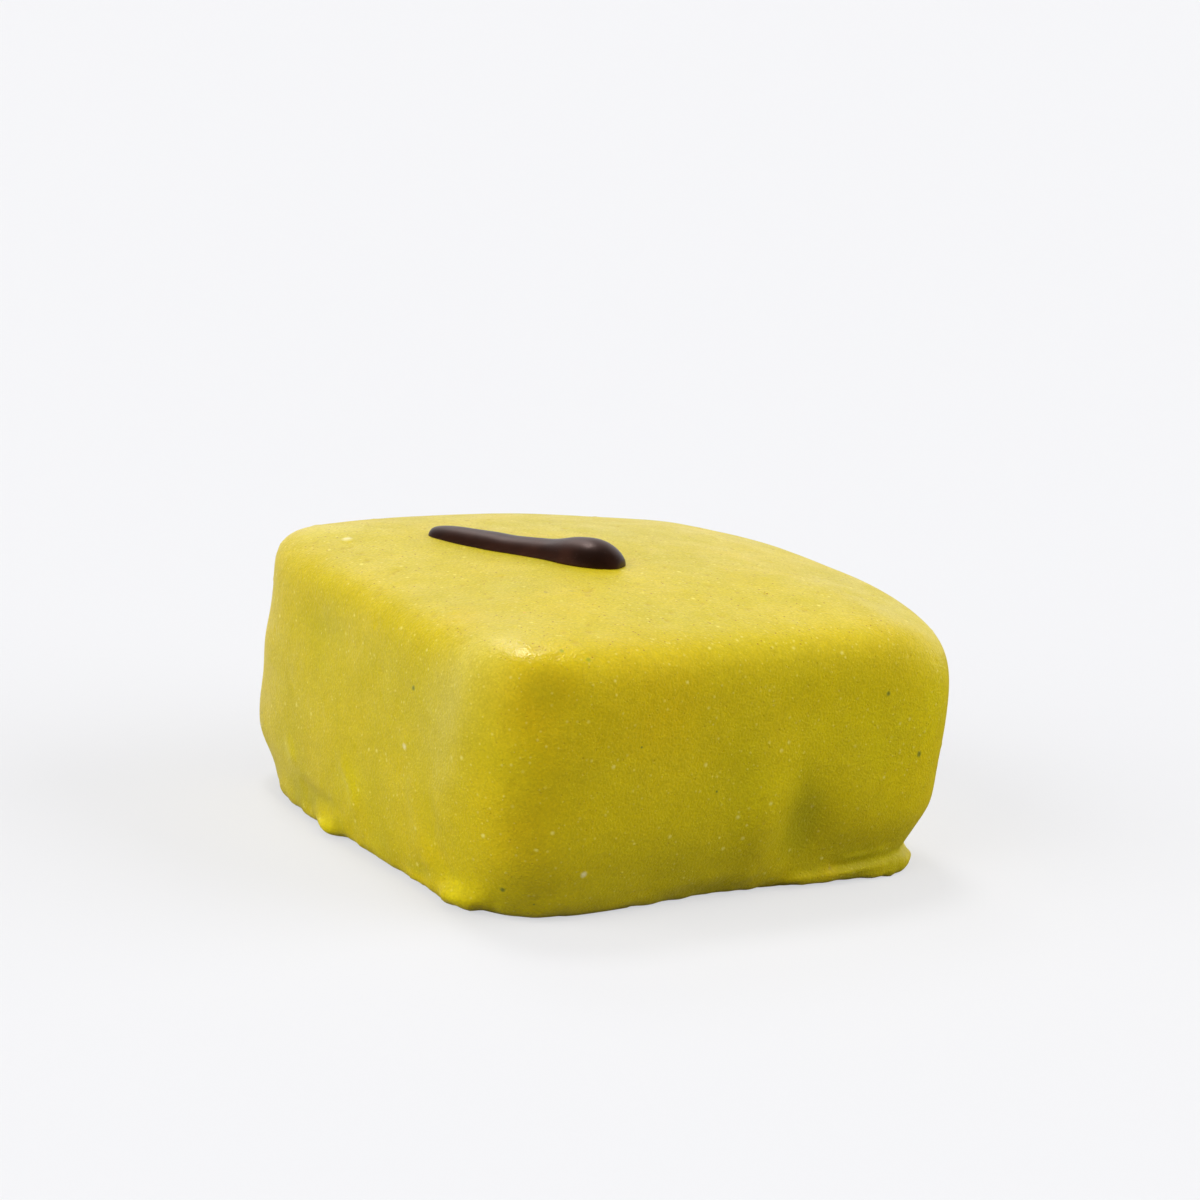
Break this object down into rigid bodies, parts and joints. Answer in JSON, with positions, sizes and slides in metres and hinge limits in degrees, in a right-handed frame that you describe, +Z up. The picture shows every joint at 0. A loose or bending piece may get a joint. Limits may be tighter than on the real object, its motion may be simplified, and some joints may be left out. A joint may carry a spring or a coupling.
{
  "type": "apple panellet",
  "caption": "Square marzipan sweet with soft edges, dipped in a yellow-green coating that pooled round its base, with a piped chocolate stem on top.",
  "frame": {"origin": "middle of the flat base, on the surface that the sweet rests on", "axes": "+Z up; the two faces that meet at the near corner look along -X and -Y; the chocolate stem lies across the top, its thick end nearer to -Y"},
  "size_m": [0.0366, 0.0358, 0.0196],
  "materials": {
    "fruit_coating": "soft satin, fatty and slightly translucent, with fine pale specks",
    "dark_chocolate": "satin"
  },
  "bodies": {
    "root": {"coated_block": "fruit_coating", "chocolate_stem": "dark_chocolate"}
  },
  "joints": []
}
